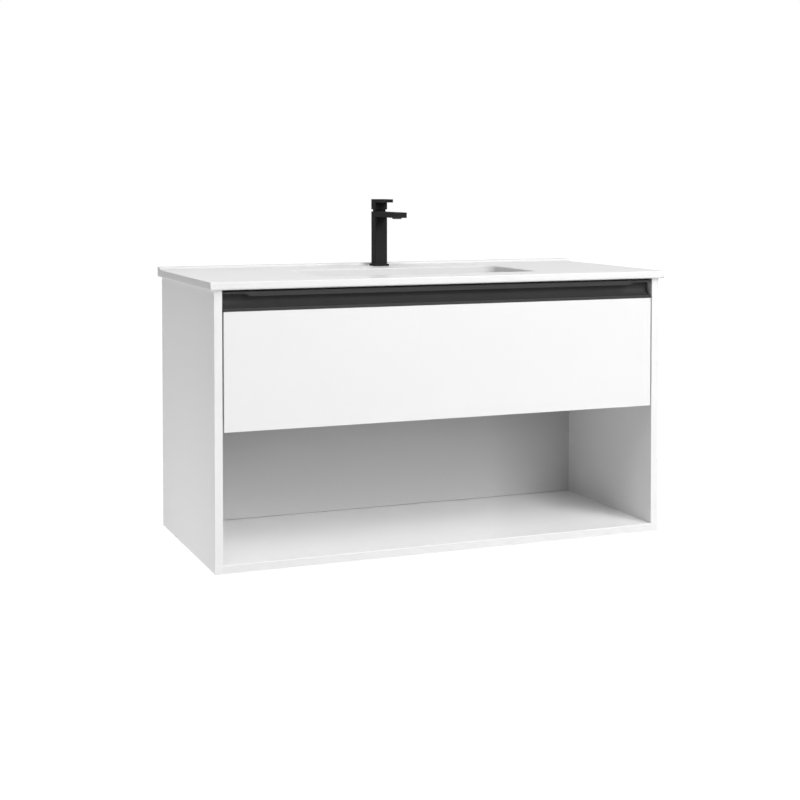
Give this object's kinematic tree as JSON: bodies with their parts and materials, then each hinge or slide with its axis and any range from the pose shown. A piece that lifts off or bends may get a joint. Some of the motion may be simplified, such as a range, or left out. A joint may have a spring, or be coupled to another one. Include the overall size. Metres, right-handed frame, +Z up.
{
  "type": "wall-hung washbasin vanity",
  "caption": "Wall-hung white bathroom vanity: thin ceramic basin top, drawer with a black finger-pull profile, open niche below and a square matt black mixer tap.",
  "frame": {"origin": "middle of the four wall screws of the two hanger plates, on the face of the wall", "axes": "+X right along the cabinet as seen from the front, +Y into the wall, +Z up; the front faces -Y"},
  "size_m": [1, 0.5, 0.7146],
  "materials": {
    "lacquered_board": "white lacquer, satin",
    "front_lacquer": "white lacquer, high gloss",
    "ceramic": "white glaze, gloss",
    "drawer_board": "light grey melamine",
    "beech": "plain beech",
    "black_aluminium": "matt black anodised",
    "tap_black": "matt black",
    "zinc_steel": "bright zinc plate",
    "cage_steel": "bare sheet, oiled",
    "die_cast": "die-cast zinc, nickel plated",
    "black_screw": "black oxide",
    "stainless": "brushed stainless steel",
    "chrome": "polished",
    "brass": "turned brass",
    "rubber": "soft black rubber",
    "cartridge_plastic": "glass-filled nylon",
    "aerator_plastic": "grey acetal",
    "white_plastic": "white polypropylene"
  },
  "bodies": {
    "carcass": {"side_panel_left": "lacquered_board", "side_panel_right": "lacquered_board", "bottom_panel": "lacquered_board", "divider_panel": "lacquered_board", "niche_back_panel": "lacquered_board", "front_rail": "lacquered_board", "back_rail": "lacquered_board", "dowels": "beech", "cam_locks": "die_cast", "cam_bolts": "zinc_steel", "hanger_cases": "zinc_steel", "hanger_hooks": "zinc_steel", "hanger_screws": "zinc_steel", "wall_plates": "zinc_steel", "basin_top": "ceramic", "runner_fixed_left": "zinc_steel", "runner_fixed_right": "zinc_steel", "runner_screws": "zinc_steel", "tap_body": "tap_black", "tap_base_plate": "tap_black", "tap_gasket": "rubber", "aerator": "aerator_plastic", "tap_cartridge": "cartridge_plastic", "tap_stud": "stainless", "tap_rubber_washer": "rubber", "tap_clamp_washer": "zinc_steel", "tap_nut": "brass", "waste_body": "chrome", "waste_gasket": "rubber", "waste_nut": "white_plastic", "trap_inlet_pipe": "white_plastic", "coupling_nut": "white_plastic", "trap_bottle": "white_plastic", "trap_cup": "white_plastic", "outlet_nut": "white_plastic", "outlet_pipe": "white_plastic", "wall_rosette": "white_plastic"},
    "drawer": {"drawer_front": "front_lacquer", "handle_profile": "black_aluminium", "handle_screws": "black_screw", "drawer_side_left": "drawer_board", "drawer_side_right": "drawer_board", "drawer_inner_front": "drawer_board", "drawer_bottom": "drawer_board", "drawer_back_left": "drawer_board", "drawer_back_right": "drawer_board", "trap_surround": "drawer_board", "drawer_screws": "zinc_steel", "runner_drawer_left": "zinc_steel", "runner_drawer_right": "zinc_steel", "runner_drawer_screws": "zinc_steel"},
    "runner_middles": {"runner_middle_left": "zinc_steel", "runner_middle_right": "zinc_steel"},
    "outer_cages": {"ball_cages_outer": "cage_steel"},
    "inner_cages": {"ball_cages_inner": "cage_steel"},
    "tap_turret": {"cartridge_stem": "stainless", "lever_carrier": "tap_black"},
    "lever": {"tap_lever": "tap_black", "lever_pin": "stainless"},
    "waste_plug": {"waste_cap": "chrome"}
  },
  "joints": [
    {"name": "drawer_slide", "type": "slide", "parent": "carcass", "child": "drawer", "axis": [0, -1, 0], "range_m": [0, 0.38]},
    {"name": "runner_middle_slide", "type": "slide", "parent": "carcass", "child": "runner_middles", "axis": [0, -1, 0], "range_m": [0, 0.19]},
    {"name": "outer_cage_slide", "type": "slide", "parent": "carcass", "child": "outer_cages", "axis": [0, -1, 0], "range_m": [0, 0.095]},
    {"name": "inner_cage_slide", "type": "slide", "parent": "carcass", "child": "inner_cages", "axis": [0, -1, 0], "range_m": [0, 0.285]},
    {"name": "tap_turn", "type": "hinge", "parent": "carcass", "child": "tap_turret", "pos_m": [0, -0.048, 0.1871], "axis": [0, 0, 1], "range_deg": [-45, 45]},
    {"name": "tap_lift", "type": "hinge", "parent": "tap_turret", "child": "lever", "pos_m": [0, -0.048, 0.1871], "axis": [-1, 0, 0], "range_deg": [0, 18]},
    {"name": "waste_plug_lift", "type": "slide", "parent": "carcass", "child": "waste_plug", "axis": [0, 0, 1], "range_m": [0, 0.006]}
  ],
  "couplings": [
    {"joint": "runner_middle_slide", "follows": "drawer_slide", "ratio": 0.5},
    {"joint": "outer_cage_slide", "follows": "drawer_slide", "ratio": 0.25},
    {"joint": "inner_cage_slide", "follows": "drawer_slide", "ratio": 0.75}
  ]
}
